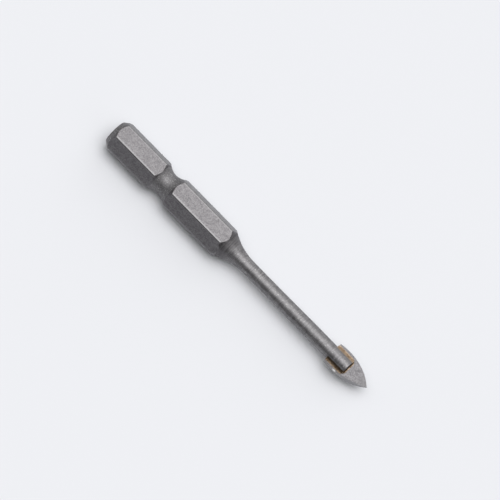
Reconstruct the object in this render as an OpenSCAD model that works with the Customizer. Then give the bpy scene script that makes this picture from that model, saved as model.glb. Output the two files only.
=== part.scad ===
// Glass and tile drill bit: a hex shank turned down to a round shaft, with a spear-shaped
// carbide blade brazed into a slot across the shaft's end.
// The bit lies along X on a flat of its hex, with its point towards +X, and +Z is up.
// The origin is on the surface that it lies on, halfway along the bit. All sizes are in millimetres.

/* [Bit] */
// Length from the back end to the point
overall_length = 70; // [66:1:100]

/* [Hex shank] */
// Width of the hex across its flats
hex_across_flats = 6.35; // [6:0.05:8]
// Rounding along the six long edges of the hex
hex_edge_radius = 0.55; // [0.2:0.05:1]
// Length from the back end to where the shoulder starts to cut the edges of the hex
hex_length = 30.3; // [24:0.1:33]
// Diameter of the flat face left inside the chamfer of the back end
end_face_diameter = 4.9; // [3:0.1:5.6]
// Slope of the back end's chamfer, from the axis
end_chamfer_angle = 38; // [25:1:60]

/* [Ball groove] */
// Distance from the back end to the middle of the groove
groove_position = 14.55; // [9:0.05:18]
// Diameter left at the bottom of the groove
groove_diameter = 5; // [4:0.1:5.6]
// Radius of the groove's round section
groove_radius = 3.3; // [2:0.1:4.5]

/* [Shoulder and shaft] */
// Radius of the hollow shoulder that runs from the hex down to the neck
shoulder_radius = 12.5; // [6:0.5:18]
// Diameter of the neck, the thinnest stretch of the shaft
neck_diameter = 3; // [2.4:0.02:3.1]
// Length of the neck, from the end of the shoulder to where the shaft begins to widen
neck_length = 7; // [3:0.5:8]
// Length over which the neck widens to the full shaft
widening_length = 10; // [5:0.5:11]
// Diameter of the shaft that holds the blade
shaft_diameter = 3.16; // [3.12:0.02:3.6]
// Chamfer that breaks the edge of the shaft's end
shaft_edge_break = 0.08; // [0.02:0.02:0.2]

/* [Carbide blade] */
// Width across the cutting edges at their widest, the hole that the bit cuts
blade_width = 5; // [4.4:0.1:7]
// Length of the blade from its square back edge to the point
blade_length = 9.5; // [8:0.05:13]
// Thickness of the blade
blade_thickness = 1.2; // [0.8:0.05:1.6]
// Length from the point back to where the blade is widest
point_length = 7.3; // [6:0.05:9]
// Clearance angle ground behind each cutting edge
relief_angle = 18; // [6:1:22]
// Gap left between the shaft's end and the start of the ground clearance
grind_gap = 0.15; // [0.05:0.05:0.6]
// Slope of the two flats that thin the point, from the blade's faces
thinning_slope = 15; // [12:1:30]
// Turn of the blade about the axis, from the flat that faces up
blade_turn = 8; // [-30:1:30]

/* [Braze] */
// How far the blade sits in the slot
seat_depth = 4.2; // [3:0.1:5]
// Thickness of the braze film between the blade and the slot
braze_film = 0.06; // [0.03:0.01:0.12]
// Strip of each face left bare between the braze fillets and the blade's widest edge
fillet_margin = 0.5; // [0.3:0.05:0.7]
// Height that the fillets climb on the shaft, above the blade's face
fillet_height = 0.38; // [0.2:0.02:0.5]
// Thickness of the fillets at their outer edge on the blade's face
fillet_edge = 0.03; // [0.02:0.01:0.08]
// Depth of the hollow in the fillets' surface
fillet_hollow = 0.06; // [0.02:0.01:0.08]
// Length of the bead in the corner in front of the shaft's end
front_bead = 0.36; // [0.1:0.02:0.4]
// Length of the bead behind the blade's square back
back_bead = 0.1; // [0.08:0.02:0.4]
// Rounding of the two front corners of the braze's outline on the blade's faces
front_corner_radius = 1; // [0.4:0.05:1.2]
// Rounding of the two back corners of that outline
back_corner_radius = 0.3; // [0.1:0.05:0.8]

/* [Hidden] */
$fn = 96;

// Room by which a cutting shape passes the faces that it cuts
overcut = 1;

hex_half = hex_across_flats / 2;
bar_radius = hex_half / cos(30);
// Angle between a flat and the round of the edge, where they meet
hex_edge_meet = 15;
hex_edge_center = (hex_half - hex_edge_radius * cos(hex_edge_meet)) / cos(30);
hex_edge_reach = hex_edge_center + hex_edge_radius;
// Round that takes in the flats as far as the foot of each edge's round
hex_core_radius = norm([hex_half, hex_edge_center * sin(30)]);
end_chamfer_length = (bar_radius - end_face_diameter / 2) / tan(end_chamfer_angle);

neck_radius = neck_diameter / 2;
shaft_radius = shaft_diameter / 2;
shoulder_rise = hex_edge_reach - neck_radius;
shoulder_length = sqrt(shoulder_rise * (2 * shoulder_radius - shoulder_rise));
neck_start = hex_length + shoulder_length;
neck_end = neck_start + neck_length;
shaft_start = neck_end + widening_length;

blade_back = overall_length - blade_length;
shaft_end = blade_back + seat_depth;
slot_width = blade_thickness + 2 * braze_film;

half_thickness = blade_thickness / 2;
widest = overall_length - point_length;
// The clearance leans each flank in or out by this much from the middle of the thickness to a face
relief_lean = half_thickness * tan(relief_angle);
// Half the blade's width at the middle of its thickness, measured square to the leaning flank
flank_half_width = (blade_width / 2 - relief_lean) * cos(relief_angle);
flank_radius = (pow(point_length, 2) + pow(flank_half_width, 2)) / (2 * flank_half_width);
// The unground outline follows the cutting edges, with its point past the ground one
outline_radius = flank_radius + relief_lean;

// Where a fillet ends on the shaft and on the blade's face, as [across, up]
fillet_reach = blade_width / 2 - fillet_margin;
fillet_top = half_thickness + fillet_height;
fillet_on_shaft = [sqrt(pow(shaft_radius, 2) - pow(fillet_top, 2)), fillet_top];
fillet_on_blade = [fillet_reach, half_thickness + fillet_edge];
fillet_chord = fillet_on_blade - fillet_on_shaft;
// The circle through both ends, sunk below the line between them by the hollow
hollow_radius = pow(norm(fillet_chord) / 2, 2) / (2 * fillet_hollow) + fillet_hollow / 2;
hollow_out = [-fillet_chord[1], fillet_chord[0]] / norm(fillet_chord);
hollow_center = (fillet_on_shaft + fillet_on_blade) / 2 + hollow_out * (hollow_radius - fillet_hollow);

// Lays the bit on its hex flat, from a frame with the axis along X and the back end at 0
module lie() {
    translate([-overall_length / 2, 0, hex_half]) children();
}

// Stands an outline's flat plane across the bit's axis and draws it out along X
module along_axis(length) {
    rotate([90, 0, 90]) linear_extrude(length) children();
}

// Section of the hex bar: a sharp hexagon, held in at its corners by six small rounds
module hex_section() {
    corners = [for (turn = [0 : 60 : 300]) [cos(turn), sin(turn)]];
    intersection() {
        polygon(bar_radius * corners);
        union() {
            circle(hex_core_radius);
            for (corner = corners)
                translate(hex_edge_center * corner) circle(hex_edge_radius);
        }
    }
}

// Half section of everything that the lathe turns, as [radius, distance from the back end]
module turned_profile() {
    difference() {
        polygon([
            [0, 0],
            [end_face_diameter / 2, 0],
            [bar_radius, end_chamfer_length],
            [bar_radius, neck_start],
            [neck_radius, neck_start],
            [neck_radius, neck_end],
            [shaft_radius, shaft_start],
            [shaft_radius, shaft_end - shaft_edge_break],
            [shaft_radius - shaft_edge_break, shaft_end],
            [0, shaft_end]
        ]);
        translate([groove_diameter / 2 + groove_radius, groove_position]) circle(groove_radius);
        translate([neck_radius + shoulder_radius, neck_start]) circle(shoulder_radius);
    }
}

module shank_form() {
    difference() {
        intersection() {
            along_axis(shaft_end + overcut) hex_section();
            rotate([0, 90, 0]) rotate_extrude() turned_profile();
        }
        rotate([blade_turn, 0, 0])
            translate([blade_back - braze_film, -bar_radius, -slot_width / 2])
                cube([seat_depth + overcut, 2 * bar_radius, slot_width]);
    }
}

// Leaf-shaped outline of the unground blade: two arcs that meet past the point, cut square behind
module blade_outline() {
    intersection() {
        translate([blade_back, -blade_width / 2])
            square([blade_length + overcut, blade_width]);
        intersection_for (side = [-1, 1])
            translate([widest, side * (outline_radius - blade_width / 2)]) circle(outline_radius);
    }
}

// What the grinding leaves: a tall round for each flank, leaned by the clearance angle
module ground_point() {
    intersection_for (half = [0, 180])
        rotate([half, 0, 0])
            translate([widest, (flank_radius - flank_half_width) / cos(relief_angle), 0])
                rotate([-relief_angle, 0, 0])
                    cylinder(h = 2 * flank_radius, r = flank_radius, center = true);
}

// One of the flats that thin the point, cut from the upper face down to the point itself
module thinning_cut() {
    translate([overall_length, 0, 0])
        rotate([0, thinning_slope, 0])
            translate([-blade_length, -blade_width, 0])
                cube([2 * blade_length, 2 * blade_width, blade_width]);
}

module blade_form() {
    ground_from = shaft_end + grind_gap;
    rotate([blade_turn, 0, 0])
        difference() {
            linear_extrude(blade_thickness, center = true) blade_outline();
            difference() {
                translate([ground_from, -blade_width, -blade_thickness])
                    cube([blade_length, 2 * blade_width, 2 * blade_thickness]);
                ground_point();
            }
            for (half = [0, 180]) rotate([half, 0, 0]) thinning_cut();
        }
}

// Section of the braze across the bit, with a hollow fillet in each corner
module braze_section() {
    difference() {
        square(2 * [fillet_reach + braze_film, fillet_top + 2 * braze_film], center = true);
        for (across = [-1, 1], up = [-1, 1])
            translate([across * hollow_center[0], up * hollow_center[1]]) circle(hollow_radius);
    }
}

// Outline of the braze on the blade's faces, round at its four corners
module braze_outline() {
    back = blade_back - back_bead;
    front = shaft_end + front_bead;
    back_width = 2 * (fillet_reach - back_corner_radius);
    front_width = 2 * (fillet_reach - front_corner_radius);
    translate([back + back_corner_radius, -fillet_reach])
        square([front - back - back_corner_radius - front_corner_radius, 2 * fillet_reach]);
    translate([back, -back_width / 2]) square([seat_depth / 2, back_width]);
    translate([front - seat_depth / 2, -front_width / 2]) square([seat_depth / 2, front_width]);
    for (across = [-1, 1]) {
        translate([back + back_corner_radius, across * back_width / 2]) circle(back_corner_radius);
        translate([front - front_corner_radius, across * front_width / 2]) circle(front_corner_radius);
    }
}

// Hollow bead in the corners between the shaft's end and the blade's faces, drawn along X and up
module bead_section() {
    reach = half_thickness + front_bead;
    difference() {
        translate([shaft_end - braze_film, -reach]) square([braze_film + front_bead, 2 * reach]);
        for (up = [-1, 1])
            translate([shaft_end + front_bead, up * reach]) circle(front_bead);
    }
}

module braze_form() {
    difference() {
        rotate([blade_turn, 0, 0])
            intersection() {
                linear_extrude(2 * shaft_diameter, center = true) braze_outline();
                union() {
                    translate([blade_back - back_bead, 0, 0])
                        along_axis(back_bead + seat_depth) braze_section();
                    rotate([90, 0, 0])
                        linear_extrude(shaft_diameter, center = true) bead_section();
                }
            }
        shank_form();
        blade_form();
    }
}

// Steel shank and shaft, turned from hex bar and slotted for the blade
module shank() {
    color([0.42, 0.42, 0.43]) lie() shank_form();
}

// Spear-shaped carbide blade
module carbide_tip() {
    color([0.56, 0.55, 0.57]) lie() blade_form();
}

// Brass-coloured braze in the slot, with its fillets along the blade
module braze() {
    color([0.62, 0.5, 0.36]) lie() braze_form();
}

shank();
carbide_tip();
braze();
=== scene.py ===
import math
import bpy
from mathutils import Matrix, Vector


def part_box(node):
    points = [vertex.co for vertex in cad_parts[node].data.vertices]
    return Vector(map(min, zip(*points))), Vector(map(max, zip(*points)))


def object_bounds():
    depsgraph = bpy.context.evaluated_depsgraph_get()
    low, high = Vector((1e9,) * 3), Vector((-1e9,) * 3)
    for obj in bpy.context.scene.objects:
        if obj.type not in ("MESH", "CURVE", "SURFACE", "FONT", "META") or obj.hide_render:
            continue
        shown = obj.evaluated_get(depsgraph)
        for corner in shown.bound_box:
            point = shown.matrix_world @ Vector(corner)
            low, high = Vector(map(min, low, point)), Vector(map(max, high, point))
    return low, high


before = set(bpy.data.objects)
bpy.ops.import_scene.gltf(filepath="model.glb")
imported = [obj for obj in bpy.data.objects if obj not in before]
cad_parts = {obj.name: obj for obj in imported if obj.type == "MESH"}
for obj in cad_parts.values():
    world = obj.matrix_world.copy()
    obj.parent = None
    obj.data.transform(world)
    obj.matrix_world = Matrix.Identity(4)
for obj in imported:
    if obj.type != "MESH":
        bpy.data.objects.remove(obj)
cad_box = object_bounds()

# Shank
# One steel bar: a hex with a ball groove, turned down through a hollow shoulder to a round shaft.
# The blasted flats are satin grey with edges rubbed bright, and the lathe leaves fine rings on the
# shoulder and the shaft. The slot across its end takes the blade.
HEX_LENGTH = 0.0303
shank_low, shank_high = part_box("shank")
axis_height = (shank_low.z + shank_high.z) / 2
flat_radius = axis_height - shank_low.z
edge_radius = shank_high.y
hex_end = shank_low.x + HEX_LENGTH
# How far inside the flats a turned face begins, and how far in from there it is fully one
TURNED_INSET = 0.000005
TURNED_FADE = 0.00005
# How far in from the hex's edges the rubbing begins, and where it is full
RUBBED_WIDTH = 0.00015
RUBBED_FULL = 0.00004
# How far behind the hex's end, and still clear of the groove, the ringed stretch is taken to begin
RINGS_LEAD = 0.0008
# Radii between which the shoulder's steel goes from dull to clean
DULL_RADIUS = 0.0030
CLEAN_RADIUS = 0.0016

STEEL_DARK = (0.095, 0.091, 0.095, 1.0)
STEEL_LIGHT = (0.195, 0.188, 0.193, 1.0)
TURNED_DARK = (0.164, 0.159, 0.164, 1.0)
TURNED_LIGHT = (0.260, 0.254, 0.259, 1.0)
STEEL_SPECK = (0.55, 0.54, 0.53, 1.0)
STEEL_RUBBED = (0.31, 0.305, 0.31, 1.0)
SPECK_SHARE = 0.7
RUBBED_SHARE = 0.4
STEEL_PIT_SCALE = 4600.0
STEEL_CLOUD_SCALE = 1500.0
RING_SCALE = 4600.0
RING_STRETCH = (1.0, 0.09, 0.09)
# Shares of the fine marks in a tone, whose rest is the cloudiness
PIT_SHARE = 0.6
RING_SHARE = 0.7
# Stretches of the noise over which the tones, the specks and the gloss change
MOTTLING_RANGE = (0.36, 0.64)
RING_RANGE = (0.34, 0.66)
SPECK_RANGE = (0.60, 0.66)
CLOUD_RANGE = (0.25, 0.75)
BLASTED_ROUGHNESS = (0.31, 0.39)
TURNED_ROUGHNESS = 0.52
COARSE_ROUGHNESS_ADDED = 0.07
# How much deeper the pits of the coarse turned faces are, and how high the rings, against the flats' pits
COARSE_PITS_ADDED = 1.5
RING_HEIGHT = 1.7
STEEL_RELIEF = 0.5
STEEL_RELIEF_DEPTH = 0.00002
EDGE_SOFTNESS = 0.00018
EDGE_SAMPLES = 8


def fill(tree, socket, value):
    if isinstance(value, bpy.types.NodeSocket):
        tree.links.new(value, socket)
    else:
        socket.default_value = value


def add_node(tree, kind, settings=None, **inputs):
    node = tree.nodes.new(kind)
    for name, value in (settings or {}).items():
        setattr(node, name, value)
    for name, value in inputs.items():
        fill(tree, node.inputs[name.replace("_", " ")], value)
    return node


def calc(tree, operation, *terms):
    node = add_node(tree, "ShaderNodeMath", {"operation": operation})
    for socket, term in zip(node.inputs, terms):
        fill(tree, socket, term)
    return node.outputs["Value"]


def reach(tree, first, second):
    second_squared = calc(tree, "MULTIPLY", second, second)
    return calc(tree, "SQRT", calc(tree, "MULTIPLY_ADD", first, first, second_squared))


def ramp_between(tree, value, start, end, low=0.0, high=1.0):
    node = add_node(tree, "ShaderNodeMapRange", {"interpolation_type": "SMOOTHSTEP"}, Value=value,
                    From_Min=start, From_Max=end, To_Min=low, To_Max=high)
    return node.outputs["Result"]


def blend_values(tree, share, first, second):
    node = add_node(tree, "ShaderNodeMix", {"data_type": "FLOAT"}, Factor=share, A=first, B=second)
    return node.outputs["Result"]


def blend_colours(tree, share, first, second):
    node = add_node(tree, "ShaderNodeMix", {"data_type": "RGBA"}, Factor=share, A=first, B=second)
    return node.outputs["Result"]


def new_finish(name):
    finish = bpy.data.materials.new(name)
    finish.use_nodes = True
    finish.node_tree.nodes.clear()
    return finish, finish.node_tree


def close_finish(tree, skin):
    output = tree.nodes.new("ShaderNodeOutputMaterial")
    tree.links.new(skin.outputs["BSDF"], output.inputs["Surface"])


# Where a point lies on the bit: along its axis, across it towards the far side, and above it
def places_on_bit(tree):
    place = add_node(tree, "ShaderNodeTexCoord").outputs["Object"]
    along, across, up = add_node(tree, "ShaderNodeSeparateXYZ", Vector=place).outputs
    return place, along, across, calc(tree, "SUBTRACT", up, axis_height)


# Lines left by a tool: noise that is drawn out along the tool's path, so that it breaks into short lines
def tool_lines(tree, place, stretch, scale):
    drawn_out = add_node(tree, "ShaderNodeMapping", Vector=place, Scale=stretch).outputs["Vector"]
    lines = add_node(tree, "ShaderNodeTexNoise", Vector=drawn_out, Scale=scale, Detail=2.0, Roughness=0.6)
    return lines.outputs["Fac"]


# Satin grain: what blasting, sintering or brazing leaves on a metal, as fine pitting and broad cloudiness
satin_grain = bpy.data.node_groups.new("satin_grain", "ShaderNodeTree")
satin_grain.interface.new_socket("Vector", in_out="INPUT", socket_type="NodeSocketVector")
for input_name in ("Pit Scale", "Cloud Scale"):
    satin_grain.interface.new_socket(input_name, in_out="INPUT", socket_type="NodeSocketFloat")
for output_name in ("Pits", "Clouds"):
    satin_grain.interface.new_socket(output_name, in_out="OUTPUT", socket_type="NodeSocketFloat")
grain_in = satin_grain.nodes.new("NodeGroupInput").outputs
grain_pits = add_node(satin_grain, "ShaderNodeTexNoise", Vector=grain_in["Vector"],
                      Scale=grain_in["Pit Scale"], Detail=3.0, Roughness=0.6)
grain_clouds = add_node(satin_grain, "ShaderNodeTexNoise", Vector=grain_in["Vector"],
                        Scale=grain_in["Cloud Scale"], Detail=4.0, Roughness=0.65)
add_node(satin_grain, "NodeGroupOutput", Pits=grain_pits.outputs["Fac"], Clouds=grain_clouds.outputs["Fac"])


def grain_on(tree, place, pit_scale, cloud_scale):
    grain = add_node(tree, "ShaderNodeGroup", {"node_tree": satin_grain}, Vector=place,
                     Pit_Scale=pit_scale, Cloud_Scale=cloud_scale)
    return grain.outputs["Pits"], grain.outputs["Clouds"]


def cover_with_metal(node_name, finish, colour, roughness, **relief):
    tree = finish.node_tree
    bump = add_node(tree, "ShaderNodeBump", **relief)
    skin = add_node(tree, "ShaderNodeBsdfPrincipled", Base_Color=colour, Roughness=roughness,
                    Normal=bump.outputs["Normal"], Metallic=1.0)
    close_finish(tree, skin)
    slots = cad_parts[node_name].data.materials
    slots.clear()
    slots.append(finish)


steel_finish, tree = new_finish("satin_turned_steel")
place, along, across, above = places_on_bit(tree)
pitting, clouding = grain_on(tree, place, STEEL_PIT_SCALE, STEEL_CLOUD_SCALE)
rings = tool_lines(tree, place, RING_STRETCH, RING_SCALE)
# Turned faces lie nearer the axis than the flats: the shoulder and the shaft show the lathe's rings,
# and the groove and the back end are coarser
radius = reach(tree, across, above)
turned_start = flat_radius - TURNED_INSET
turned = ramp_between(tree, radius, turned_start, turned_start - TURNED_FADE)
ringed = calc(tree, "MULTIPLY", turned, calc(tree, "GREATER_THAN", along, hex_end - RINGS_LEAD))
coarse = calc(tree, "SUBTRACT", turned, ringed)
clean = calc(tree, "MAXIMUM", coarse, ramp_between(tree, radius, DULL_RADIUS, CLEAN_RADIUS))
rubbed = ramp_between(tree, radius, edge_radius - RUBBED_WIDTH, edge_radius - RUBBED_FULL)
# Colour: mottled or ringed tones, with bright specks where the steel is clean
mottled_tone = ramp_between(tree, blend_values(tree, PIT_SHARE, clouding, pitting), *MOTTLING_RANGE)
ringed_tone = ramp_between(tree, blend_values(tree, RING_SHARE, clouding, rings), *RING_RANGE)
tone = blend_values(tree, ringed, mottled_tone, ringed_tone)
dull_steel = blend_colours(tree, tone, STEEL_DARK, STEEL_LIGHT)
clean_steel = blend_colours(tree, tone, TURNED_DARK, TURNED_LIGHT)
colour = blend_colours(tree, clean, dull_steel, clean_steel)
specks = calc(tree, "MULTIPLY", ramp_between(tree, pitting, *SPECK_RANGE), clean)
colour = blend_colours(tree, calc(tree, "MULTIPLY", specks, SPECK_SHARE), colour, STEEL_SPECK)
colour = blend_colours(tree, calc(tree, "MULTIPLY", rubbed, RUBBED_SHARE), colour, STEEL_RUBBED)
# Gloss and relief
blasted_roughness = ramp_between(tree, clouding, *CLOUD_RANGE, *BLASTED_ROUGHNESS)
turned_roughness = calc(tree, "MULTIPLY_ADD", coarse, COARSE_ROUGHNESS_ADDED, TURNED_ROUGHNESS)
roughness = blend_values(tree, turned, blasted_roughness, turned_roughness)
pit_height = calc(tree, "MULTIPLY", pitting, calc(tree, "MULTIPLY_ADD", coarse, COARSE_PITS_ADDED, 1.0))
ring_height = calc(tree, "MULTIPLY", rings, RING_HEIGHT)
height = blend_values(tree, ringed, pit_height, ring_height)
soft_edges = add_node(tree, "ShaderNodeBevel", {"samples": EDGE_SAMPLES}, Radius=EDGE_SOFTNESS)
cover_with_metal("shank", steel_finish, colour, roughness, Height=height, Strength=STEEL_RELIEF,
                 Distance=STEEL_RELIEF_DEPTH, Normal=soft_edges.outputs["Normal"])

# Carbide tip
# A flat spear-shaped blade of sintered tungsten carbide, pressed to shape and brazed into the slot.
# Its faces keep the matt pressed skin, its two flanks are ground bright to the cutting edges, and its
# point is thinned from both faces.
BLADE_THICKNESS = 0.0012
BLADE_TURN = math.radians(8.0)
POINT_TAPER = math.tan(math.radians(15.0))
half_thickness = BLADE_THICKNESS / 2
point_end = cad_box[1].x
shaft_end = shank_high.x
# How far below a face a flank is fully ground, and where the thinning starts and is full
GROUND_FADE = 0.00003
THINNED_START = 0.00001
THINNED_FULL = -0.00004
# Where along the bit the flux stain and painted shade end and are full, from the shaft's end, and their
# places across
STAIN_SHADE_END = 0.0004
STAIN_SHADE_FULL = -0.0005
STAIN_SHADE_FAR = 0.0016
STAIN_SHADE_NEAR = -0.0020
# Middle of the painted glint, the reaches from there at which it begins and is full, and its narrowness
# across
GLINT_ALONG = 0.0282
GLINT_ACROSS = -0.0024
GLINT_REACH = 0.00055
GLINT_FULL = 0.0001
GLINT_NARROWNESS = 2.0

CARBIDE_DARK = (0.089, 0.086, 0.090, 1.0)
CARBIDE_LIGHT = (0.215, 0.208, 0.215, 1.0)
CARBIDE_GROUND = (0.28, 0.276, 0.283, 1.0)
# Colour of the painted glint on the near edge
CARBIDE_PAINTED_GLINT = (0.32, 0.316, 0.313, 1.0)
# Colour of the flux stain and of the painted shade beside the braze
FLUX_STAIN_AND_PAINTED_SHADE = (0.05, 0.046, 0.044, 1.0)
STAIN_AND_SHADE_SHARES = (0.12, 0.5)
THINNED_SHARE = 0.3
CARBIDE_PIT_SCALE = 4200.0
CARBIDE_CLOUD_SCALE = 1600.0
WHEEL_SCALE = 16000.0
WHEEL_STRETCH = (0.05, 0.05, 1.0)
PRESSED_ROUGHNESS = (0.42, 0.52)
GROUND_ROUGHNESS = 0.38
CARBIDE_RELIEF = 0.4
CARBIDE_RELIEF_DEPTH = 0.00002

carbide_finish, tree = new_finish("sintered_carbide")
place, along, across, above = places_on_bit(tree)
pitting, clouding = grain_on(tree, place, CARBIDE_PIT_SCALE, CARBIDE_CLOUD_SCALE)
wheel_lines = tool_lines(tree, place, WHEEL_STRETCH, WHEEL_SCALE)
# The flanks lie below the two faces, which stand apart by the blade's thickness or, at the point, less
above_turned = calc(tree, "MULTIPLY", above, math.cos(BLADE_TURN))
above_middle = calc(tree, "MULTIPLY_ADD", across, -math.sin(BLADE_TURN), above_turned)
tapered_half = calc(tree, "MULTIPLY", calc(tree, "SUBTRACT", point_end, along), POINT_TAPER)
half_here = calc(tree, "MINIMUM", tapered_half, half_thickness)
below_face = calc(tree, "SUBTRACT", half_here, calc(tree, "ABSOLUTE", above_middle))
ground = ramp_between(tree, below_face, 0.0, GROUND_FADE)
thinned = ramp_between(tree, tapered_half, half_thickness + THINNED_START, half_thickness + THINNED_FULL)
tone = ramp_between(tree, blend_values(tree, PIT_SHARE, clouding, pitting), *MOTTLING_RANGE)
colour = blend_colours(tree, tone, CARBIDE_DARK, CARBIDE_LIGHT)
# Darkens the faces beside the braze, most on the near side: partly a burnt flux stain, and on the near side
# mostly painted shade from the shaft
beside_braze = ramp_between(tree, along, shaft_end + STAIN_SHADE_END, shaft_end + STAIN_SHADE_FULL)
stain_and_shade_share = ramp_between(tree, across, STAIN_SHADE_FAR, STAIN_SHADE_NEAR, *STAIN_AND_SHADE_SHARES)
colour = blend_colours(tree, calc(tree, "MULTIPLY", beside_braze, stain_and_shade_share), colour, FLUX_STAIN_AND_PAINTED_SHADE)
colour = blend_colours(tree, calc(tree, "MULTIPLY", thinned, THINNED_SHARE), colour, CARBIDE_GROUND)
colour = blend_colours(tree, ground, colour, CARBIDE_GROUND)
# A painted glint: a small bright spot on the near edge, where the flank meets the face
from_glint_along = calc(tree, "SUBTRACT", along, GLINT_ALONG)
from_glint_across = calc(tree, "MULTIPLY", calc(tree, "SUBTRACT", across, GLINT_ACROSS), GLINT_NARROWNESS)
from_glint = reach(tree, from_glint_along, from_glint_across)
colour = blend_colours(tree, ramp_between(tree, from_glint, GLINT_REACH, GLINT_FULL), colour, CARBIDE_PAINTED_GLINT)
pressed_roughness = ramp_between(tree, clouding, *CLOUD_RANGE, *PRESSED_ROUGHNESS)
roughness = blend_values(tree, ground, pressed_roughness, GROUND_ROUGHNESS)
height = blend_values(tree, ground, pitting, wheel_lines)
cover_with_metal("carbide_tip", carbide_finish, colour, roughness, Height=height, Strength=CARBIDE_RELIEF,
                 Distance=CARBIDE_RELIEF_DEPTH)

# Braze
# The brazing alloy that holds the blade: a film in the slot and a fillet along each face of the blade.
# It flows while hot and sets with a soft tan skin; towards the near side its colour is darkened as painted
# shade, where the shaft shades it.
NEAR_SHADE_START = 0.0004
NEAR_SHADE_FULL = -0.0014
BRAZE_DARK = (0.116, 0.072, 0.036, 1.0)
BRAZE_LIGHT = (0.311, 0.234, 0.167, 1.0)
# Colour of the painted shade on the near side
BRAZE_PAINTED_SHADE = (0.035, 0.021, 0.009, 1.0)
NEAR_SHADE_SHARES = (0.0, 0.48)
BRAZE_PIT_SCALE = 3200.0
BRAZE_CLOUD_SCALE = 1400.0
BRAZE_TONE_RANGE = (0.3, 0.6)
BRAZE_ROUGHNESS = (0.42, 0.3)
BRAZE_RELIEF = 0.8
BRAZE_RELIEF_DEPTH = 0.00006

braze_finish, tree = new_finish("tan_braze")
place, _, across, _ = places_on_bit(tree)
pitting, clouding = grain_on(tree, place, BRAZE_PIT_SCALE, BRAZE_CLOUD_SCALE)
colour = blend_colours(tree, ramp_between(tree, clouding, *BRAZE_TONE_RANGE), BRAZE_DARK, BRAZE_LIGHT)
# Painted shade: the braze is darkened towards the near side, where the shaft shades it
near_side_shade = ramp_between(tree, across, NEAR_SHADE_START, NEAR_SHADE_FULL, *NEAR_SHADE_SHARES)
colour = blend_colours(tree, near_side_shade, colour, BRAZE_PAINTED_SHADE)
roughness = ramp_between(tree, clouding, *CLOUD_RANGE, *BRAZE_ROUGHNESS)
cover_with_metal("braze", braze_finish, colour, roughness, Height=pitting, Strength=BRAZE_RELIEF,
                 Distance=BRAZE_RELIEF_DEPTH)

# Floor
# A plain pale sheet that the bit lies on, on one flat of its hex.
# It is matt and far wider than the picture, so that it is the background too.
FLOOR_WIDTH = 6.0
FLOOR_COLOUR = (0.742, 0.750, 0.778, 1.0)
bpy.ops.object.select_all(action="DESELECT")
bpy.ops.mesh.primitive_plane_add(size=FLOOR_WIDTH, location=(0.0, 0.0, 0.0))
floor = bpy.context.object
floor.name = "floor"
floor_finish, tree = new_finish("pale_sheet")
close_finish(tree, add_node(tree, "ShaderNodeBsdfDiffuse", Color=FLOOR_COLOUR))
floor.data.materials.append(floor_finish)

# Studio light
# A soft dome over the table: brightest overhead, fair on the far side and dark on the near side.
# Towards the two ends of the bit it fades to pale walls, sooner behind its back end than past its point.
DOME_PEAK = 4.19
# Each pair is a lean from overhead, in degrees towards the near side, and the light that comes from there
DOME_LIGHT = ((-90, 1.38), (-45, 1.10), (-7, DOME_PEAK), (2, DOME_PEAK), (42, 0.08), (90, 0.02))
BACK_NARROWING = 5.0
FRONT_NARROWING = 13.0
NARROWING_LIMIT = 2.5
SHARE_KEPT_AT_ENDS = 0.06
END_WALLS = (0.70, 0.70, 0.70, 1.0)
END_WALL_RANGE = (0.6, 0.9)

studio = bpy.data.worlds.new("studio")
bpy.context.scene.world = studio
studio.use_nodes = True
tree = studio.node_tree
tree.nodes.clear()
toward = add_node(tree, "ShaderNodeTexCoord").outputs["Generated"]
to_point, to_far_side, to_zenith = add_node(tree, "ShaderNodeSeparateXYZ", Vector=toward).outputs
lean = calc(tree, "ARCTAN2", calc(tree, "MULTIPLY", to_far_side, -1.0), to_zenith)
dome = add_node(tree, "ShaderNodeValToRGB", Fac=calc(tree, "MULTIPLY_ADD", lean, 1.0 / math.pi, 0.5))
dome.color_ramp.interpolation = "EASE"
stops = dome.color_ramp.elements
while len(stops) < len(DOME_LIGHT):
    stops.new(0.5)
for stop, (degrees, light) in zip(stops, DOME_LIGHT):
    grey = light / DOME_PEAK
    stop.position = degrees / 180.0 + 0.5
    stop.color = (grey, grey, grey, 1.0)
point_squared = calc(tree, "MULTIPLY", to_point, to_point)
back_fall = calc(tree, "MULTIPLY", point_squared, BACK_NARROWING)
front_fall = calc(tree, "MULTIPLY", calc(tree, "POWER", point_squared, 2.0), FRONT_NARROWING)
end_fall = blend_values(tree, calc(tree, "GREATER_THAN", to_point, 0.0), back_fall, front_fall)
end_fall = calc(tree, "MINIMUM", end_fall, NARROWING_LIMIT)
end_share = calc(tree, "EXPONENT", calc(tree, "MULTIPLY", end_fall, -1.0))
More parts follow.
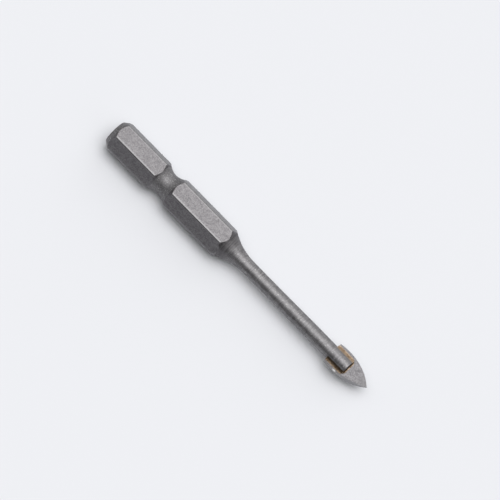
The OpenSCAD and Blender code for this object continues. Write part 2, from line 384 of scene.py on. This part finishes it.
strength = calc(tree, "MULTIPLY_ADD", end_share, DOME_PEAK * (1.0 - SHARE_KEPT_AT_ENDS),
                DOME_PEAK * SHARE_KEPT_AT_ENDS)
at_ends = ramp_between(tree, calc(tree, "ABSOLUTE", to_point), *END_WALL_RANGE)
sky_colour = blend_colours(tree, at_ends, dome.outputs["Color"], END_WALLS)
sky = add_node(tree, "ShaderNodeBackground", Color=sky_colour, Strength=strength)
add_node(tree, "ShaderNodeOutputWorld", Surface=sky.outputs["Background"])

# Camera
# Looks steeply down on the bit from the near side and the side of its point, turned so that the bit
# lies from corner to corner of the picture.
VIEW_BACK = Vector((0.1045, -0.3450, 0.9328)).normalized()
AXIS_SLOPE = math.radians(45.516)
PIXELS_PER_METRE = 5161.0
FRAME_PIXELS = 500.0
CAMERA_DISTANCE = 0.8
SENSOR_WIDTH = 36.0
CLIP_START = 0.01
# How far the middle of the picture lies from the middle of the bit, towards its point and to its far side
AIM_ALONG = 0.00006
AIM_ASIDE = 0.002564

axis = Vector((1.0, 0.0, 0.0))
along_view = (axis - VIEW_BACK * VIEW_BACK.x).normalized()
aside_view = along_view.cross(VIEW_BACK)
right = math.cos(AXIS_SLOPE) * along_view - math.sin(AXIS_SLOPE) * aside_view
down = math.sin(AXIS_SLOPE) * along_view + math.cos(AXIS_SLOPE) * aside_view
middle = (cad_box[0] + cad_box[1]) / 2
aim = middle + AIM_ALONG * axis - AIM_ASIDE * aside_view
camera_data = bpy.data.cameras.new("camera")
camera_data.sensor_width = SENSOR_WIDTH
camera_data.lens = SENSOR_WIDTH * CAMERA_DISTANCE * PIXELS_PER_METRE / FRAME_PIXELS
camera_data.clip_start = CLIP_START
camera = bpy.data.objects.new("camera", camera_data)
bpy.context.scene.collection.objects.link(camera)
turn = Matrix((right, -down, VIEW_BACK)).transposed().to_4x4()
camera.matrix_world = Matrix.Translation(aim + VIEW_BACK * CAMERA_DISTANCE) @ turn
bpy.context.scene.camera = camera
bpy.context.scene.view_settings.view_transform = "Standard"
